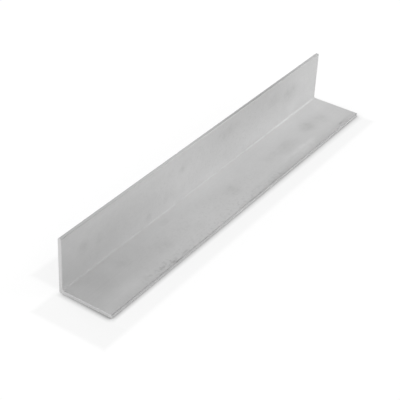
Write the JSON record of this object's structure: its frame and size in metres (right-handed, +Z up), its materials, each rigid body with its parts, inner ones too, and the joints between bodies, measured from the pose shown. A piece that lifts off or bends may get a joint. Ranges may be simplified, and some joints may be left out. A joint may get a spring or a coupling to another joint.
{
  "type": "metal angle section",
  "caption": "Equal-leg metal angle section: thin flat legs meeting at a right angle, with a small root fillet and square-sawn ends, for framing, edging, bracing and brackets.",
  "frame": {"origin": "centre of the lying leg's underside, midway between heel and toe and midway along the length, on the surface it lies on", "axes": "+Y along the length of the section, +Z up, the heel and the standing leg on the -X side, the lying leg's toe to +X"},
  "size_m": [0.05, 0.372, 0.05],
  "materials": {
    "mill_aluminium": "mill finish as extruded: satin, with faint lengthwise die lines, cloudy handling marks and brighter sawn ends"
  },
  "bodies": {
    "root": {"angle_section": "mill_aluminium"}
  },
  "joints": []
}
